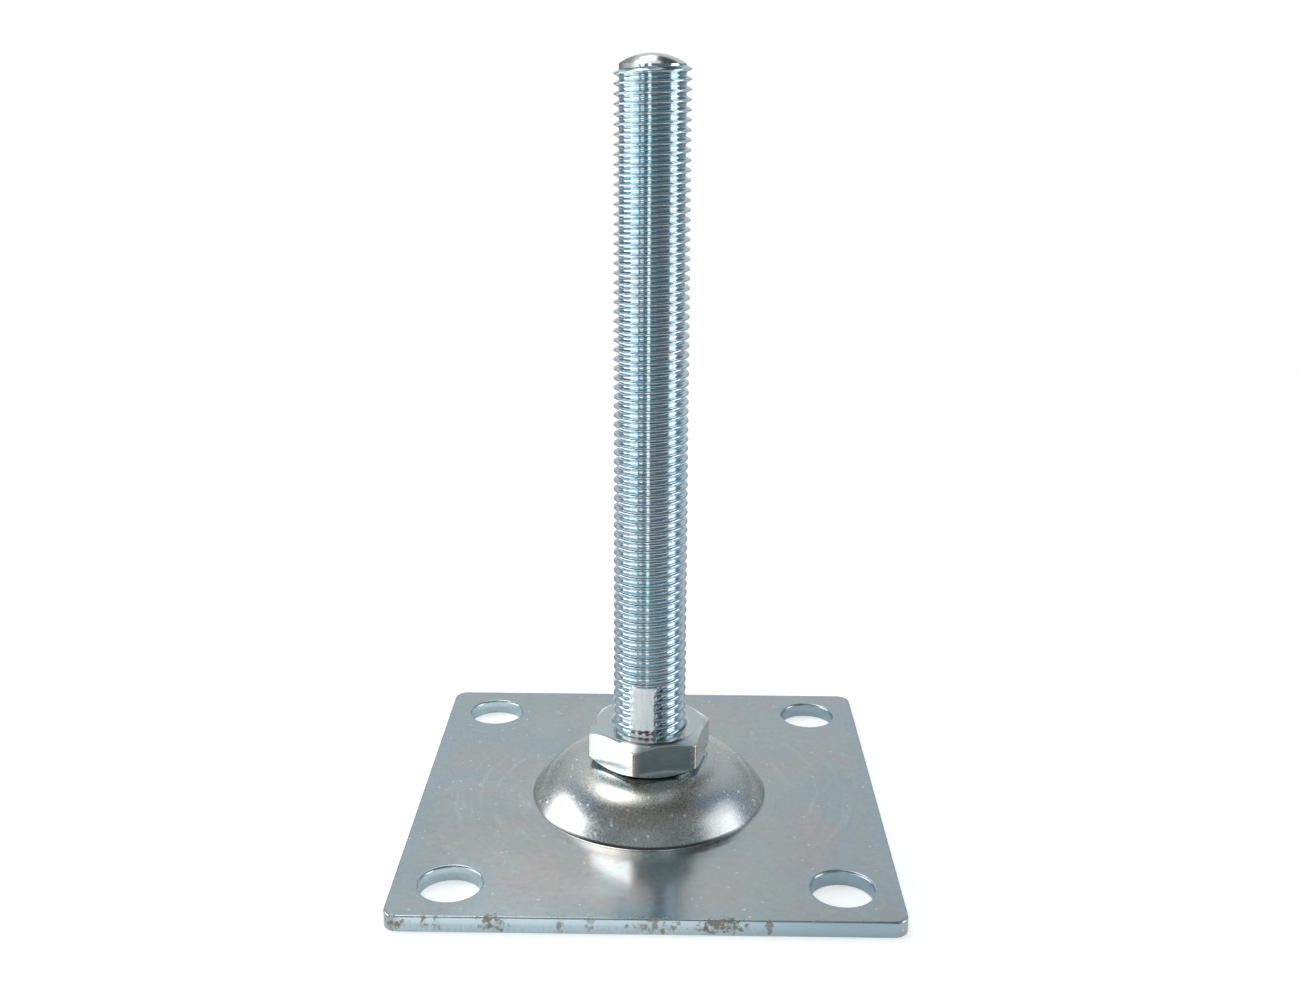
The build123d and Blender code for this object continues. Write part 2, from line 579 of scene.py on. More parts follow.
def about_axis(angle, radius, height):
    """The place at an angle and a radius about the axis, and at a height."""
    x = times(radius, calculate("COSINE", angle))
    y = times(radius, calculate("SINE", angle))
    return combine(x, y, height)


def close_patch(given, angle, free, radius):
    """Closes the thread over the patch above the nut. To its left the patch ends sharply, and to
    its right the grooves grow deep again bit by bit. Returns the radius, and a mark that is 1 on
    the patch and -1 where the grooves beside it are pinched."""
    wander = noise(about_axis(angle, WANDER_ROUND, times(free, WANDER_UP)), 1.0)["Fac"]
    wander = minus(wander, 0.5)

    past = calculate("WRAP", minus(angle, given["Patch Angle"]), pi, -pi)
    past = plus(past, times(wander, SIDE_WANDER))
    left = plus(past, given["Patch Half Width"])
    right = minus(given["Patch Half Width"], past)
    below = plus(minus(given["Patch Top"], free), times(wander, TOP_WANDER))
    below = remap(below, -TOP_SOFTNESS, TOP_SOFTNESS)
    beside = remap(left, -END_SOFTNESS, SIDE_SOFTNESS)
    before = remap(right, -SIDE_SOFTNESS, SIDE_SOFTNESS)
    filling = remap(right, -PATCH_TAPER, END_SOFTNESS, smooth=False)
    taper = remap(right, -PATCH_TAPER - END_SOFTNESS, END_SOFTNESS - PATCH_TAPER)
    patch = together(before, below, beside)
    filled = together(filling, below, beside)
    pinched = together(beside, below, taper)

    level = mix_value(filled, given["Root Radius"], given["Patch Radius"])
    uneven = plus(given["Patch Radius"], times(wander, FACE_WANDER))
    radius = calculate("MAXIMUM", radius, level)
    radius = mix_value(patch, radius, uneven)
    return radius, minus(times(patch, 2.0), pinched)


def run_out(given, turn, height, radius):
    """Ends the thread: below on the shoulder's cone, and above by its last turn, which runs into
    the root, and by the chamfer down to the point."""
    running = remap(minus(given["Last Turn"], turn), 0.0, RUN_OUT_TURNS)
    radius = mix_value(running, given["Root Radius"], radius)
    depth = minus(given["Crest Radius"], given["Root Radius"])
    steepness = calculate("DIVIDE", depth, given["Chamfer Height"])
    past = minus(height, given["Chamfer Start"])
    chamfer = minus(given["Crest Radius"], times(past, steepness))
    inner = minus(given["Root Radius"], SHOULDER_INSET)
    shoulder = plus(minus(height, given["Start"]), inner)
    radius = calculate("MINIMUM", calculate("MINIMUM", radius, chamfer), shoulder)
    at_end = calculate("COMPARE", height, given["End"], SAME_HEIGHT)
    return mix_value(at_end, radius, given["Root Radius"])


def thread_tree(inputs):
    tree, given, end = new_tree(
        "screw_thread", "GeometryNodeTree", inputs, [("Geometry", "NodeSocketGeometry")]
    )
    sizes = {
        "Size X": 1.0,
        "Size Y": 1.0,
        "Vertices X": plus(times(given["Segments"], given["Turns"]), 1.0),
        "Vertices Y": PROFILE_ROWS + 1,
    }
    grid = add_node(tree, "GeometryNodeMeshGrid", sizes).outputs["Mesh"]
    place = split(result_of(tree, "GeometryNodeInputPosition"))
    turn = times(plus(place["X"], 0.5), given["Turns"])
    angle = times(turn, 2 * pi)
    across = curve_of(plus(place["Y"], 0.5), thread_rows())
    rise = curve_of(across, thread_profile())
    radius = mix_value(rise, given["Root Radius"], given["Crest Radius"])

    climbed = plus(plus(turn, across), given["Phase"])
    start = minus(given["Start"], times(given["Pitch"], SPARE_TURNS))
    free = plus(start, times(climbed, given["Pitch"]))
    height = calculate("MINIMUM", calculate("MAXIMUM", free, given["Start"]), given["End"])
    radius, mark = close_patch(given, angle, free, radius)
    radius = run_out(given, turn, height, radius)

    point = about_axis(angle, radius, height)
    stored = {"Geometry": grid, "Name": "closed_thread", "Value": mark}
    kinds = {"data_type": "FLOAT", "domain": "POINT"}
    marked = follow("GeometryNodeStoreNamedAttribute", stored, **kinds)[0]
    bent = follow("GeometryNodeSetPosition", {"Geometry": marked, "Position": point})[0]
    welded = follow("GeometryNodeMergeByDistance", {"Geometry": bent, "Distance": WELD})[0]
    real = follow("GeometryNodeRealizeInstances", {"Geometry": welded})[0]
    dressed = {"Geometry": real, "Material": given["Material"]}
    connect(end, {"Geometry": follow("GeometryNodeSetMaterial", dressed)[0]})
    return tree


def run_tree(name, tree, inputs):
    """Runs a geometry tree on an empty mesh and gives its result back as a plain mesh."""
    values = {input_name: value for input_name, _, value in inputs}
    holder = object_from(name, bpy.data.meshes.new(name))
    modifier = holder.modifiers.new(name, "NODES")
    modifier.node_group = tree
    for item in tree.interface.items_tree:
        if item.item_type == "SOCKET" and item.in_out == "INPUT":
            modifier[item.identifier] = values[item.name]
    mesh = plain_mesh_of(holder)
    bpy.data.objects.remove(holder)
    return mesh


def make_spindle(material):
    inputs = thread_inputs(material)
    bm = bmesh.new()
    bm.from_mesh(run_tree("screw_thread", thread_tree(inputs), inputs))
    head = [
        (0.0, HEAD_BOTTOM),
        (HEAD_RADIUS / 2, HEAD_BOTTOM),
        (HEAD_RADIUS - RIVET_HEAD_CHAMFER, HEAD_BOTTOM),
        (HEAD_RADIUS, HEAD_BOTTOM + RIVET_HEAD_CHAMFER),
        (HEAD_RADIUS, WASHER_BOTTOM),
        (NECK_RADIUS, WASHER_BOTTOM),
        (NECK_RADIUS, THREAD_START),
        (ROOT_RADIUS - SHOULDER_INSET, THREAD_START),
    ]
    lathe(bm, head, THREAD_SEGMENTS)
    reach = degrees(atan2(ROOT_RADIUS, POINT_SPHERE_RADIUS - POINT_HEIGHT))
    centre = (0.0, SPINDLE_TOP - POINT_SPHERE_RADIUS)
    point = arc(centre, POINT_SPHERE_RADIUS, 90 - reach, 90, 2 * ROUND_STEPS)
    point[-1] = (0.0, SPINDLE_TOP)
    lathe(bm, point, THREAD_SEGMENTS)
    piece = closed_piece("threaded_spindle", bm, smooth_angle=45)
    finish_piece(piece, "spindle", "spindle", material)


# Washer under the dome

WASHER_SEGMENTS = 128
WASHER_EDGE_STEPS = 4


def make_washer(material):
    rounding = WASHER_EDGE_ROUNDING
    level = WASHER_TOP - rounding
    outline = [(WASHER_BORE_RADIUS, WASHER_BOTTOM), (WASHER_RADIUS, WASHER_BOTTOM)]
    outline += arc((WASHER_RADIUS - rounding, level), rounding, 0, 90, WASHER_EDGE_STEPS)
    outline += arc((WASHER_BORE_RADIUS + rounding, level), rounding, 90, 180, WASHER_EDGE_STEPS)
    bm = bmesh.new()
    lathe(bm, outline, WASHER_SEGMENTS, closed=True)
    piece = closed_piece("plain_washer", bm, smooth_angle=35)
    finish_piece(piece, "spindle", "bearing_washer", material)


# Groups that the finishes share. They take places in millimetres.


def zinc_film_group():
    """The film drifts between a plain, a cool and a warm tint, and its gloss drifts as well."""
    tree, given, end = new_tree(
        "zinc_film",
        "ShaderNodeTree",
        [
            ("Place", VECTOR, None),
            ("Cloud Size", FLOAT, 12.0),
            ("Plain", COLOR, (0.6, 0.6, 0.6, 1)),
            ("Cool", COLOR, (0.5, 0.6, 0.65, 1)),
            ("Warm", COLOR, (0.62, 0.57, 0.55, 1)),
            ("Least Roughness", FLOAT, 0.2),
            ("Most Roughness", FLOAT, 0.3),
        ],
        [("Color", COLOR), ("Roughness", FLOAT)],
    )
    clouds = split(noise(given["Place"], given["Cloud Size"], detail=3.0, distortion=0.6)["Color"])
    film = mix_color(remap(clouds["X"], 0.44, 0.62), given["Plain"], given["Cool"])
    film = mix_color(remap(clouds["Y"], 0.46, 0.64), film, given["Warm"])
    gloss = remap(clouds["Z"], 0.35, 0.65)
    gloss = mix_value(gloss, given["Least Roughness"], given["Most Roughness"])
    connect(end, {"Color": film, "Roughness": gloss})
    return tree


def fine_speckle_group():
    """Tiny specks, of which only a share shows, and the fine unevenness that they lie in."""
    tree, given, end = new_tree(
        "fine_speckle",
        "ShaderNodeTree",
        [("Place", VECTOR, None), ("Speck Size", FLOAT, 0.4), ("Share", FLOAT, 0.2)],
        [("Specks", FLOAT), ("Height", FLOAT)],
    )
    spread = calculate("DIVIDE", 1.0, times(given["Speck Size"], 2.0))
    cells = follow("ShaderNodeTexVoronoi", {"Vector": given["Place"], "Scale": spread})
    near = fade(cells["Distance"], 0.2, 0.45)
    chosen = calculate("LESS_THAN", split(cells["Color"])["X"], given["Share"])
    grain = noise(given["Place"], given["Speck Size"], detail=3.0)["Fac"]
    connect(end, {"Specks": times(near, chosen), "Height": grain})
    return tree


def worn_streaks_group():
    """Long thin scuffs side by side, turned about the vertical."""
    tree, given, end = new_tree(
        "worn_streaks",
        "ShaderNodeTree",
        [
            ("Place", VECTOR, None),
            ("Turn", FLOAT, 0.0),
            ("Length", FLOAT, 30.0),
            ("Width", FLOAT, 0.6),
        ],
        [("Streaks", FLOAT)],
    )
    turned = {"Vector": given["Place"], "Angle": given["Turn"]}
    turned = follow("ShaderNodeVectorRotate", turned, rotation_type="Z_AXIS")[0]
    drawn = vector_math("DIVIDE", turned, combine(given["Length"], given["Width"], 1.0))["Vector"]
    lines = noise(drawn, 1.0, detail=3.0, distortion=0.3)["Fac"]
    connect(end, {"Streaks": remap(lines, 0.5, 0.72)})
    return tree


def stain_spot_group():
    """One ragged spot about a centre, with its own reach along each axis."""
    tree, given, end = new_tree(
        "stain_spot",
        "ShaderNodeTree",
        [
            ("Place", VECTOR, None),
            ("Centre", VECTOR, None),
            ("Reach", VECTOR, (1.0, 1.0, 1.0)),
            ("Raggedness", FLOAT, 0.8),
        ],
        [("Stain", FLOAT)],
    )
    away = vector_math("SUBTRACT", given["Place"], given["Centre"])["Vector"]
    away = vector_math("DIVIDE", away, given["Reach"])["Vector"]
    away = vector_math("LENGTH", away)["Value"]
    ragged = minus(noise(given["Place"], 0.8, detail=3.0)["Fac"], 0.5)
    ragged = times(ragged, times(given["Raggedness"], 3.0))
    connect(end, {"Stain": fade(plus(away, ragged), 0.75, 1.05)})
    return tree


def use_group(group, inputs):
    return follow("ShaderNodeGroup", inputs, node_tree=group)


# Finishes: bright zinc with its drifting film of colour, speckle, scuffs and stains. Places and
# distances in them are in millimetres.


def new_material(name):
    """A material and its empty tree."""
    material = bpy.data.materials.new(name)
    material.use_nodes = True
    material.node_tree.nodes.clear()
    return material, material.node_tree


def scaled(place, factors):
    return vector_math("MULTIPLY", place, factors)["Vector"]


def new_zinc(name):
    """A zinc material, its shader's inputs, and the place in millimetres."""
    material, tree = new_material(name)
    shader = add_node(tree, "ShaderNodeBsdfPrincipled", {"Metallic": 1.0})
    add_node(tree, "ShaderNodeOutputMaterial", {"Surface": shader.outputs[0]})
    place = add_node(tree, "ShaderNodeTexCoord").outputs["Object"]
    return material, shader.inputs, scaled(place, (1 / MM, 1 / MM, 1 / MM))


def film_over(film, place, cloud_size, tints, roughness):
    """The film's colour and roughness, from its three tints and its least and most roughness."""
    inputs = {"Place": place, "Cloud Size": cloud_size}
    inputs.update(zip(("Plain", "Cool", "Warm"), tints))
    inputs.update(zip(("Least Roughness", "Most Roughness"), roughness))
    clouds = use_group(film, inputs)
    return clouds["Color"], clouds["Roughness"]


def link_surface(shader, color, roughness, height, depth):
    """Gives a shader its colour, roughness and relief, which is up to the given depth."""
    normal = follow("ShaderNodeBump", {"Height": height, "Distance": depth, "Strength": 1.0})[0]
    connect(shader, {"Base Color": color, "Roughness": roughness, "Normal": normal})


def radius_of(place, centre=(0.0, 0.0)):
    parts = split(place)
    x = minus(parts["X"], centre[0])
    y = minus(parts["Y"], centre[1])
    return vector_math("LENGTH", combine(x, y))["Value"]


# Plate's finish

PLATE_TINTS = ((0.472, 0.498, 0.490, 1), (0.430, 0.488, 0.510, 1), (0.515, 0.475, 0.465, 1))
THICK_FILM = (0.425, 0.500, 0.535, 1)
SCUFFED = (0.54, 0.60, 0.58, 1)
DARK_MOTTLE = (0.2, 0.2, 0.2, 1)
PALE_MOTTLE = (0.8, 0.8, 0.8, 1)
PLATE_SPECK = (0.78, 0.80, 0.78, 1)
STRETCHED = (0.60, 0.585, 0.56, 1)
DOME_GRAIN = (0.2, 0.19, 0.18, 1)
DOME_SPECK = (0.95, 0.93, 0.88, 1)
# Dark line of dirt and painted shade in the crease at the dome's base
CREASE_DIRT_AND_SHADE = (0.05, 0.035, 0.035, 1)
# Wall tints: lit on the left, painted shade on the right
SHEARED_WALL_LIT = (0.67, 0.79, 0.83, 1)
SHEARED_WALL_SHADED = (0.40, 0.52, 0.59, 1)
BROKEN_STEEL = (0.45, 0.55, 0.58, 1)
DARK_BROWN = (0.10, 0.06, 0.04, 1)
PALE_BROWN = (0.36, 0.28, 0.20, 1)

# Where the dome's base, its seat, the crease and the press's ring lie, from the axis
DOME_EDGE = DOME_BASE_RADIUS / MM
SEAT_EDGE = SEAT_FLAT_RADIUS / MM
CREASE_RADIUS = DOME_EDGE - 0.18
PRESS_RING_RADIUS = DOME_EDGE + 2.6

# Regions of the scuffs on the plate, left and right of the dome
SCUFF_RADIUS = 34.0
LEFT_SCUFFS = {"Centre": (-33.0, -8.0, SHEET / MM), "Reach": (13.0, 26.0, 9.0), "Raggedness": 0.3}
RIGHT_SCUFFS = {"Centre": (36.0, 3.0, SHEET / MM), "Reach": (11.0, 27.0, 9.0), "Raggedness": 0.3}

# Brown stains on the plate's front edge: how far along x, how wide, and how strong
EDGE_STAINS = [
    (-47.8, 2.6, 1.0),
    (-41.8, 0.8, 0.8),
    (-39.4, 0.7, 0.8),
    (-29.0, 3.0, 0.9),
    (-16.0, 0.7, 0.8),
    (-10.5, 0.9, 0.6),
    (1.5, 4.6, 0.75),
    (14.5, 4.4, 1.0),
    (23.4, 0.7, 0.8),
]


def edge_and_hole(place, parts):
    """How far a place is inside the plate's edge, and how far outside its nearest hole."""
    from_edge = either(absolute(parts["X"]), absolute(parts["Y"]))
    from_edge = minus(PLATE_HALF / MM, from_edge)
    folded = vector_math("ABSOLUTE", place)["Vector"]
    middle = HOLE_SPACING / 2 / MM
    from_hole = minus(radius_of(folded, (middle, middle)), HOLE_RADIUS / MM)
    return from_edge, from_hole


def scuffs_round_dome(streaks, stain, place, parts, out):
    """Scuffs that run round the dome, fainter on its right."""
    turned = calculate("ARCTAN2", parts["X"], times(parts["Y"], -1.0))
    around = combine(times(turned, SCUFF_RADIUS), out)
    scuffs = use_group(streaks, {"Place": around, "Length": 13.0, "Width": 2.1})["Streaks"]
    left = use_group(stain, {"Place": place, **LEFT_SCUFFS})["Stain"]
    right = use_group(stain, {"Place": place, **RIGHT_SCUFFS})["Stain"]
    return times(scuffs, either(left, times(right, 0.7)))


def dome_finish(speckle, place, out, color, roughness):
    """The dome's zinc is stretched, duller and speckled, but its seat is worn bright. Returns the
    color and roughness, where the shoulder is and how high its grain stands."""
    dome = fade(out, DOME_EDGE - 0.6, DOME_EDGE - 0.1)
    seat = fade(out, SEAT_EDGE + 0.4, SEAT_EDGE + 1.8)
    shoulder = times(dome, minus(1.0, seat))
    sparkle = use_group(speckle, {"Place": place, "Speck Size": 0.42, "Share": 0.14})
    grain = minus(sparkle["Height"], 0.5)
    color = mix_color(times(shoulder, 0.75), color, STRETCHED)
    grains = times(shoulder, remap(grain, -0.12, 0.12, 0.2, 0.0, smooth=False))
    color = mix_color(grains, color, DOME_GRAIN)
    clusters = remap(noise(place, 5.0)["Fac"], 0.42, 0.6, 0.15, 1.0)
    bright = together(sparkle["Specks"], shoulder, clusters)
    color = mix_color(bright, color, DOME_SPECK)
    roughness = mix_value(shoulder, roughness, plus(0.28, times(grain, 0.35)))
    roughness = plus(roughness, times(bright, 0.25))
    roughness = mix_value(seat, roughness, 0.13)
    return color, roughness, shoulder, sparkle["Height"]


def crease_dirt_and_shade(parts, out):
    """Dirt and painted shade in the crease round the dome, most of it in front."""
    crease = fade(absolute(minus(out, CREASE_RADIUS)), 0.12, 0.30)
    in_front = remap(parts["Y"], -24.0, -12.0, 1.0, 0.15)
    return together(crease, in_front, remap(parts["Z"], 1.0, 3.0))


def wall_finish(speckle, place, parts, away, color, roughness):
    """Sheared and punched walls: plain zinc with painted shade that deepens towards the right, and
    rougher where the steel broke away below. Returns the color and roughness, where the steel
    broke and how high it stands there."""
    wall = either(*[calculate("LESS_THAN", distance, 0.05) for distance in away])
    drawn = scaled(place, (1.0, 1.0, 0.45))
    broken = use_group(speckle, {"Place": drawn, "Speck Size": 0.5, "Share": 0.25})
    broke_below = times(wall, fade(parts["Z"], 1.4, 2.3))
    painted_shade_rightwards = remap(parts["X"], 0.0, 40.0)
    # Painted shade: the walls darken from the left to the right
    wall_color = mix_color(painted_shade_rightwards, SHEARED_WALL_LIT, SHEARED_WALL_SHADED)
    color = mix_color(wall, color, wall_color)
    color = mix_color(times(broke_below, broken["Height"]), color, BROKEN_STEEL)
    roughness = mix_value(wall, roughness, 0.34)
    roughness = mix_value(broke_below, roughness, 0.46)
    return color, roughness, broke_below, broken["Height"]


def edge_stains(stain, place):
    """Patchy stains along the front edge."""
    spots = []
    for along, wide, strength in EDGE_STAINS:
        centre = (along, -PLATE_HALF / MM, 2.0)
        spot = {"Place": place, "Centre": centre, "Reach": (wide, 1.6, 1.7), "Raggedness": 0.9}
        spots.append(times(use_group(stain, spot)["Stain"], strength))
    patchy = remap(noise(place, 0.9, detail=3.0)["Fac"], 0.42, 0.58, 0.15, 1.0)
    return times(either(*spots), patchy)


def plate_zinc(film, speckle, streaks, stain):
    material, shader, place = new_zinc("plate_zinc")
    parts = split(place)
    out = radius_of(place)
    from_edge, from_hole = edge_and_hole(place, parts)
    color, roughness = film_over(film, place, 24.0, PLATE_TINTS, (0.17, 0.24))

    # The film is thicker and bluer along the edges and round the holes
    bluer = either(fade(from_edge, 0.5, 6.0), fade(from_hole, 0.5, 4.0))
    color = mix_color(times(bluer, 0.75), color, THICK_FILM)

    # Scuffs round the dome, and fine mottling and specks all over
    scuffs = scuffs_round_dome(streaks, stain, place, parts, out)
    color = mix_color(times(scuffs, 0.55), color, SCUFFED)
    mottling = split(noise(place, 1.3, detail=4.0)["Color"])
    shade = remap(mottling["X"], 0.3, 0.7, smooth=False)
    color = mix_color(0.05, color, mix_color(shade, DARK_MOTTLE, PALE_MOTTLE))
    specks = use_group(speckle, {"Place": place, "Speck Size": 0.45, "Share": 0.035})
    color = mix_color(times(specks["Specks"], 0.45), color, PLATE_SPECK)
    roughness = plus(roughness, remap(mottling["Y"], 0.3, 0.7, -0.03, 0.03, smooth=False))

    color, roughness, shoulder, grain = dome_finish(speckle, place, out, color, roughness)

    # The crease round the dome is darkened with dirt and painted shade, and the press left a ring
    # beside it
    crease = crease_dirt_and_shade(parts, out)
    color = mix_color(times(crease, 0.95), color, CREASE_DIRT_AND_SHADE)
    press_ring = fade(absolute(minus(out, PRESS_RING_RADIUS)), 0.2, 1.0)

    away = (from_edge, from_hole)
    color, roughness, broke_below, breaks = wall_finish(speckle, place, parts, away, color, roughness)

    # Brown stains along the front edge
    spots = edge_stains(stain, place)
    brown = mix_color(mottling["Z"], DARK_BROWN, PALE_BROWN)
    color = mix_color(times(spots, 0.85), color, brown)
    roughness = mix_value(spots, roughness, 0.6)
    metal = minus(1.0, times(either(spots, crease), 0.6))

    # Relief
    height = times(mottling["X"], 0.12)
    height = mix_value(shoulder, height, times(grain, 0.38))
    height = mix_value(broke_below, height, breaks)
    height = plus(height, times(press_ring, 0.4))
    link_surface(shader, color, roughness, height, 0.03 * MM)
    connect(shader, {"Metallic": metal})
    return material


# Nut's finish

NUT_TINTS = ((0.68, 0.72, 0.72, 1), (0.60, 0.68, 0.70, 1), (0.70, 0.71, 0.68, 1))
NUT_SPECK = (0.85, 0.85, 0.83, 1)
TURNED_FACE = (0.57, 0.575, 0.56, 1)
RUBBED_CORNER = (0.66, 0.61, 0.54, 1)
# Painted shade for the dark line along the nut's upper edge in front
PAINTED_EDGE_SHADE = (0.12, 0.10, 0.11, 1)


def nut_zinc(film, speckle):
    material, shader, place = new_zinc("nut_zinc")
    parts = split(place)
    high = parts["Z"]
    out = radius_of(place)
    top = NUT_TOP / MM
    color, roughness = film_over(film, place, 6.0, NUT_TINTS, (0.10, 0.18))
    specks = use_group(speckle, {"Place": place, "Speck Size": 0.5, "Share": 0.04})
    color = mix_color(times(specks["Specks"], 0.2), color, NUT_SPECK)

    # The turned top face has fine rings about the bore
    face = calculate("GREATER_THAN", high, top - 0.02)
    turning = {"W": out, "Scale": 2.0, "Detail": 2.0}
    rings = follow("ShaderNodeTexNoise", turning, noise_dimensions="1D")["Fac"]
    color = mix_color(times(face, 0.8), color, TURNED_FACE)
    height = mix_value(face, times(specks["Height"], 0.04), times(rings, 0.2))

    # Corners rubbed by spanners show a warmer, duller metal
    rubbed = times(remap(out, 13.05, 13.5), remap(specks["Height"], 0.35, 0.6, 0.4, 1.0))
    color = mix_color(rubbed, color, RUBBED_CORNER)
    roughness = mix_value(rubbed, roughness, 0.30)

    # Painted shade in front: a dark line along the edge between the top face and its chamfer
    from_edge = absolute(minus(out, NUT_FACE_RADIUS / MM))
    upper = remap(high, top - 0.6, top - 0.4)
    in_front = remap(parts["Y"], -8.0, -10.0)
    painted_edge_shade = together(fade(from_edge, 0.2, 0.5), upper, in_front)
    color = mix_color(times(painted_edge_shade, 0.85), color, PAINTED_EDGE_SHADE)

    link_surface(shader, color, roughness, height, 0.012 * MM)
    return material


# Spindle's finish

SPINDLE_TINTS = ((0.54, 0.64, 0.69, 1), (0.46, 0.62, 0.70, 1), (0.56, 0.62, 0.68, 1))
BURNISHED_CREST = (0.66, 0.72, 0.73, 1)
COLOURED_ROOT = (0.36, 0.50, 0.56, 1)
CUT_TIP = (0.66, 0.65, 0.64, 1)
GROUND_SIDE = (0.22, 0.22, 0.215, 1)
PINCHED_GROOVE_SHADE = (0.05, 0.06, 0.08, 1)
DULL_PATCH = (0.86, 0.91, 0.89, 1)
PALE_PATCH = (1.0, 1.0, 1.0, 1)
BROWN_MARK = (0.10, 0.07, 0.075, 1)


def patch_finish(specks, place, high, out, color, roughness):
    """The closed patch is dull and pale, with brown marks at its foot, and the pinched grooves
    beside it are darkened with painted shade. Returns the color and roughness, and where the patch is."""
    mark = add_node(place.id_data, "ShaderNodeAttribute", attribute_name="closed_thread")
    mark = mark.outputs["Fac"]
    pinched = times(remap(mark, -0.2, -0.6), fade(out, 7.4, 7.7))
    closed = remap(mark, 0.3, 0.7)
    # Painted shade in the pinched grooves beside the patch
    color = mix_color(times(pinched, 0.85), color, PINCHED_GROOVE_SHADE)
    drawn = noise(scaled(place, (1.0, 1.0, 0.2)), 0.7, detail=3.0)["Fac"]
    pale = plus(times(specks["Height"], 0.4), times(drawn, 0.6))
    pale = mix_color(remap(pale, 0.38, 0.58), DULL_PATCH, PALE_PATCH)
    color = mix_color(closed, color, pale)
    roughness = mix_value(closed, roughness, 0.36)
    marks = split(noise(scaled(place, (0.8, 0.8, 1.2)), 0.8, detail=3.0)["Color"])
    foot = minus(high, times(marks["X"], 1.6))
    foot = absolute(minus(foot, NUT_TOP / MM - 0.15))
    foot = fade(foot, 0.28, 0.5)
    brown = together(foot, remap(marks["Y"], 0.38, 0.5), closed)
    color = mix_color(brown, color, BROWN_MARK)
    return color, roughness, closed


def spindle_zinc(film, speckle):
    material, shader, place = new_zinc("spindle_zinc")
    parts = split(place)
    high = parts["Z"]
    out = radius_of(place)
    top = SPINDLE_TOP / MM
    drawn = scaled(place, (1.0, 1.0, 0.35))
    color, roughness = film_over(film, drawn, 5.0, SPINDLE_TINTS, (0.07, 0.13))
    specks = use_group(speckle, {"Place": place, "Speck Size": 0.3, "Share": 0.12})

    # Crests are burnished by rolling, and the roots keep more of the colour
    crest = remap(out, 7.2, 7.75)
    root = fade(out, 6.8, 7.1)
    color = mix_color(times(crest, 0.6), color, BURNISHED_CREST)
    color = mix_color(times(root, 0.5), color, COLOURED_ROOT)

    # The cut tip above the thread
    tip = remap(high, top - 2.2, top - 1.9)
    color = mix_color(tip, color, CUT_TIP)
    roughness = mix_value(tip, roughness, 0.16)

    # Its left side was ground by hand, down to the end of the thread
    leftwards = remap(parts["X"], -2.0, -4.5)
    inside = remap(out, 7.05, 6.9)
    ground = together(leftwards, inside, remap(high, top - 4.6, top - 4.3))
    color = mix_color(ground, color, GROUND_SIDE)
    roughness = mix_value(ground, roughness, 0.46)

    color, roughness, closed = patch_finish(specks, place, high, out, color, roughness)
    metal = minus(1.0, times(closed, 0.9))
    height = mix_value(closed, times(specks["Height"], 0.3), specks["Height"])
    link_surface(shader, color, roughness, height, 0.015 * MM)
    connect(shader, {"Metallic": metal})
    return material


# Washer's finish

WASHER_TINTS = ((0.58, 0.60, 0.61, 1), (0.52, 0.59, 0.63, 1), (0.62, 0.59, 0.57, 1))
WASHER_SPECK = (0.8, 0.8, 0.79, 1)


def washer_zinc(film, speckle, streaks):
    material, shader, place = new_zinc("washer_zinc")
    color, roughness = film_over(film, place, 8.0, WASHER_TINTS, (0.22, 0.32))
    specks = use_group(speckle, {"Place": place, "Speck Size": 0.35, "Share": 0.15})
    color = mix_color(times(specks["Specks"], 0.3), color, WASHER_SPECK)
    lay = use_group(streaks, {"Place": place, "Turn": 0.4, "Length": 14.0, "Width": 0.4})["Streaks"]
    height = plus(times(specks["Height"], 0.4), times(lay, 0.3))
    link_surface(shader, color, roughness, height, 0.02 * MM)
    return material


# Floor

FLOOR_SHEET = ((-0.34, -0.15), (0.34, 0.45))
FLOOR_DROP = 0.1 * MM
FLOOR_LIFT = 0.55
LIFT_IN_METAL = 0.5
PAPER = (0.8, 0.8, 0.8, 1)
WHITE = (1, 1, 1, 1)


def make_floor():
    """A sheet of paper, clear from below. It is lifted to white for the camera, and half as much
    where the metal mirrors it."""
    (left, front), (right, back) = FLOOR_SHEET
    bm = bmesh.new()
    corners = [(left, front), (right, front), (right, back), (left, back)]
    bm.faces.new([bm.verts.new((x, y, -FLOOR_DROP)) for x, y in corners])
    floor = object_from("floor", mesh_from("floor", bm))
    material, tree = new_material("white_paper")
    paper = result_of(tree, "ShaderNodeBsdfDiffuse", {"Color": PAPER})
    lift = result_of(tree, "ShaderNodeEmission", {"Color": WHITE, "Strength": FLOOR_LIFT})
    lifted = result_of(tree, "ShaderNodeAddShader", {0: paper, 1: lift})
    rays = add_node(tree, "ShaderNodeLightPath").outputs
    shown = either(rays["Is Glossy Ray"], rays["Is Transmission Ray"])
    shown = either(rays["Is Camera Ray"], times(shown, LIFT_IN_METAL))
    both = result_of(tree, "ShaderNodeMixShader", {0: shown, 1: paper, 2: lifted})
    clear = result_of(tree, "ShaderNodeBsdfTransparent")
    below = add_node(tree, "ShaderNodeNewGeometry").outputs["Backfacing"]
    sheet = result_of(tree, "ShaderNodeMixShader", {0: below, 1: both, 2: clear})
    add_node(tree, "ShaderNodeOutputMaterial", {"Surface": sheet})
    floor.data.materials.append(material)


# Room: what the zinc mirrors. Directions are azimuth and elevation in degrees, where azimuth 0 is
# the camera's side and + is right.

ROOM_RADIUS = 3.0
ROOM_SUBDIVISIONS = 4
BACK_WALL = (0.66, 0.72, 0.75, 1)
SIDE_WALL = (0.20, 0.30, 0.42, 1)
FRONT_WALL = (0.19, 0.25, 0.28, 1)
CORNER_WALL = (0.36, 0.40, 0.40, 1)
CEILING = (0.24, 0.245, 0.235, 1)
DARK_CEILING = (0.17, 0.165, 0.16, 1)
BLUE_CEILING = (0.17, 0.19, 0.21, 1)
TABLE = (0.26, 0.28, 0.29, 1)

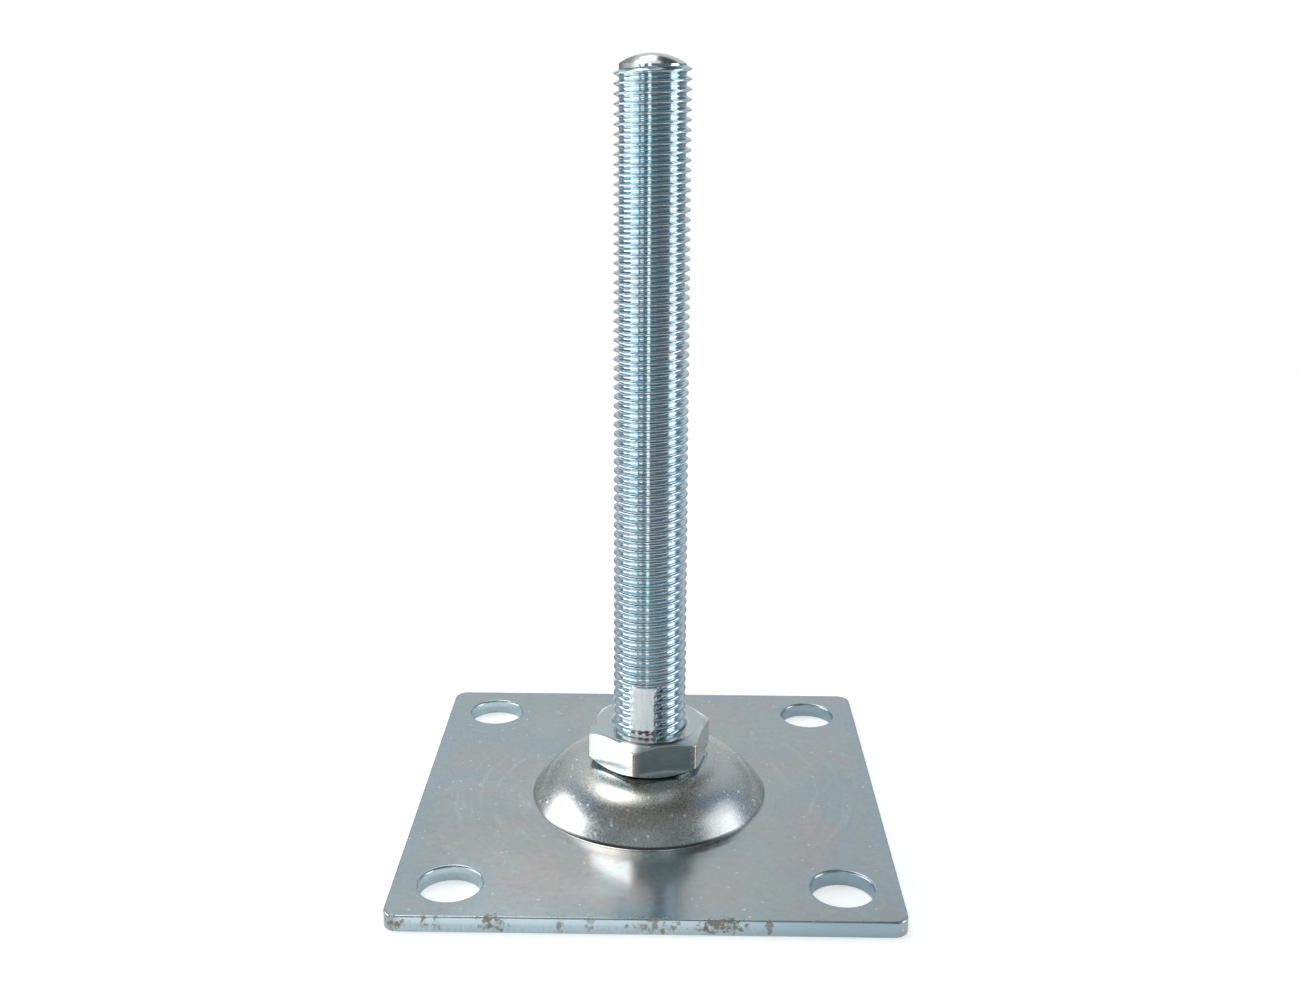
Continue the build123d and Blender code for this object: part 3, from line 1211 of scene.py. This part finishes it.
# Lit and dark panels of the walls: azimuth and elevation of the middle, half width and half
# height, and colour
WALL_PANELS = [
    (-64, 5, 16, 21, (2.6, 2.7, 2.8, 1)),
    (82, 5, 14, 19, (3.0, 3.15, 3.3, 1)),
    (-35, 4, 6, 10, (2.6, 2.7, 2.8, 1)),
    (-9, -9, 4.5, 22, (3.0, 3.0, 2.9, 1)),
    (-5, 29, 21, 10, (0.70, 0.78, 0.80, 1)),
]
WALL_PANEL_SOFTNESS = (3, 2)

# Panels of the ceiling: middle and half size, as shares of its height above the part, to the
# right and to the back, and colour
CEILING_PANELS = [
    (0.26, 0.52, 0.19, 0.75, (0.10, 0.10, 0.09, 1)),
    (-0.16, -0.07, 0.24, 0.17, (0.11, 0.13, 0.135, 1)),
    (-0.09, 0.85, 0.14, 0.42, (2.0, 2.02, 1.98, 1)),
    (-0.29, 0.43, 0.16, 0.33, (2.3, 2.3, 2.2, 1)),
    (0.02, 0.35, 0.12, 0.23, (0.95, 1.12, 1.14, 1)),
]
CEILING_PANEL_SOFTNESS = (0.02, 0.05)
LEAST_RISE = 0.05


def room_shell(around, above):
    """Walls from the front past the sides, and lower down past the corners, to the back, with the
    ceiling over them and the table's far end below."""
    aside = absolute(around)
    walls = mix_color(remap(aside, 55.0, 105.0), FRONT_WALL, SIDE_WALL)
    lower = mix_color(remap(aside, 108.0, 125.0), walls, CORNER_WALL)
    lower = mix_color(remap(aside, 150.0, 168.0), lower, BACK_WALL)
    walls = mix_color(remap(aside, 108.0, 150.0), walls, BACK_WALL)
    walls = mix_color(remap(above, 8.0, 24.0), lower, walls)
    ceiling = mix_color(remap(around, 60.0, 115.0), CEILING, DARK_CEILING)
    ceiling = mix_color(remap(around, -50.0, -80.0), ceiling, BLUE_CEILING)
    higher = minus(above, remap(aside, 60.0, 120.0, 38.0, 56.0))
    shell = mix_color(remap(higher, 0.0, 14.0), walls, ceiling)
    return mix_color(remap(above, -8.0, 0.0), TABLE, shell)


def panel_mask(away, half_size, softness):
    """A soft rectangle, from how far a place is from its middle in both directions."""
    sides = []
    for distance, half, soft in zip(away, half_size, softness):
        sides.append(fade(absolute(distance), half - soft, half + soft))
    return together(*sides)


def room_light(tree):
    """The room's light by direction: its shell with the panels of its walls and ceiling."""
    place = add_node(tree, "ShaderNodeTexCoord").outputs["Object"]
    way = split(vector_math("NORMALIZE", place)["Vector"])
    ahead = times(way["Y"], -1.0)
    around = times(calculate("ARCTAN2", way["X"], ahead), 180 / pi)
    above = times(calculate("ARCSINE", way["Z"]), 180 / pi)
    light = room_shell(around, above)
    for azimuth, elevation, half_width, half_height, color in WALL_PANELS:
        beside = calculate("WRAP", minus(around, azimuth), 180.0, -180.0)
        away = (beside, minus(above, elevation))
        panel = panel_mask(away, (half_width, half_height), WALL_PANEL_SOFTNESS)
        light = mix_color(panel, light, color)
    rise = calculate("MAXIMUM", way["Z"], LEAST_RISE)
    to_right = calculate("DIVIDE", way["X"], rise)
    to_back = calculate("DIVIDE", way["Y"], rise)
    for right, back, half_width, half_depth, color in CEILING_PANELS:
        away = (minus(to_right, right), minus(to_back, back))
        panel = panel_mask(away, (half_width, half_depth), CEILING_PANEL_SOFTNESS)
        light = mix_color(panel, light, color)
    return light


def make_room():
    """The studio round the part, hidden from the camera: walls, ceiling and the table's far end."""
    bm = bmesh.new()
    bmesh.ops.create_icosphere(bm, subdivisions=ROOM_SUBDIVISIONS, radius=ROOM_RADIUS)
    bmesh.ops.reverse_faces(bm, faces=bm.faces)
    room = object_from("room", mesh_from("room", bm))
    room.visible_camera = False
    room.visible_shadow = False
    material, tree = new_material("room_walls")
    material.cycles.emission_sampling = "NONE"
    glow = result_of(tree, "ShaderNodeEmission", {"Color": room_light(tree), "Strength": 1.0})
    add_node(tree, "ShaderNodeOutputMaterial", {"Surface": glow})
    room.data.materials.append(material)


def make_world():
    """The plain white background."""
    world = bpy.data.worlds.new("background")
    bpy.context.scene.world = world
    world.use_nodes = True
    tree = world.node_tree
    tree.nodes.clear()
    background = result_of(tree, "ShaderNodeBackground", {"Color": WHITE, "Strength": 1.0})
    add_node(tree, "ShaderNodeOutputWorld", {"Surface": background})


# Lamps: name, azimuth, elevation, distance, width and height, radiance and colour
LAMPS = [
    ("softbox_left", -93, 24, 0.56, (0.42, 0.24), 3.2, (1, 1, 1)),
    ("softbox_right", 85, 31, 0.58, (0.38, 0.24), 1.15, (1, 1, 1)),
    ("ceiling_light", -140, 64, 1.2, (0.36, 0.36), 2.4, (1.0, 0.97, 0.90)),
]


def make_lamp(name, azimuth, elevation, distance, size, radiance, color):
    """A soft lamp in the given direction, which shines at the part."""
    turn, rise = radians(azimuth), radians(elevation)
    way = Vector((sin(turn) * cos(rise), -cos(turn) * cos(rise), sin(rise)))
    light = bpy.data.lights.new(name, "AREA")
    light.shape = "RECTANGLE"
    light.size, light.size_y = size
    light.energy = radiance * size[0] * size[1] * pi
    light.color = color
    lamp = object_from(name, light)
    lamp.location = way * distance
    lamp.rotation_euler = (-way).to_track_quat("-Z", "Y").to_euler()
    lamp.visible_camera = False


# Camera, as fitted to the photograph by the plate's corners and holes and the rod
CAMERA_PLACE = (0.003928, -0.29259, 0.159944)
CAMERA_HEADING = radians(0.8185)
CAMERA_PITCH = radians(12.389)
CAMERA_ROLL = radians(0.2838)
CAMERA_LENS = 39.802
CAMERA_SENSOR = 36.0
CAMERA_SHIFT = -0.09


def make_camera():
    heading, pitch, roll = CAMERA_HEADING, CAMERA_PITCH, CAMERA_ROLL
    forward = Vector((-sin(heading) * cos(pitch), cos(heading) * cos(pitch), -sin(pitch)))
    right = Vector((cos(heading), sin(heading), 0.0))
    up = right.cross(forward)
    side = right * cos(roll) + up * sin(roll)
    top = up * cos(roll) - right * sin(roll)
    camera_data = bpy.data.cameras.new("camera")
    camera_data.sensor_width = CAMERA_SENSOR
    camera_data.lens = CAMERA_LENS
    camera_data.shift_y = CAMERA_SHIFT
    camera = object_from("camera", camera_data)
    turn = Matrix((side, top, -forward)).transposed()
    camera.matrix_world = Matrix.Translation(CAMERA_PLACE) @ turn.to_4x4()
    bpy.context.scene.camera = camera


film, speckle = zinc_film_group(), fine_speckle_group()
streaks, stain = worn_streaks_group(), stain_spot_group()

make_plate(plate_zinc(film, speckle, streaks, stain))
make_nut(nut_zinc(film, speckle))
make_spindle(spindle_zinc(film, speckle))
make_washer(washer_zinc(film, speckle, streaks))

make_floor()
make_room()
make_world()
for lamp in LAMPS:
    make_lamp(*lamp)
make_camera()
bpy.context.scene.view_settings.view_transform = "Standard"
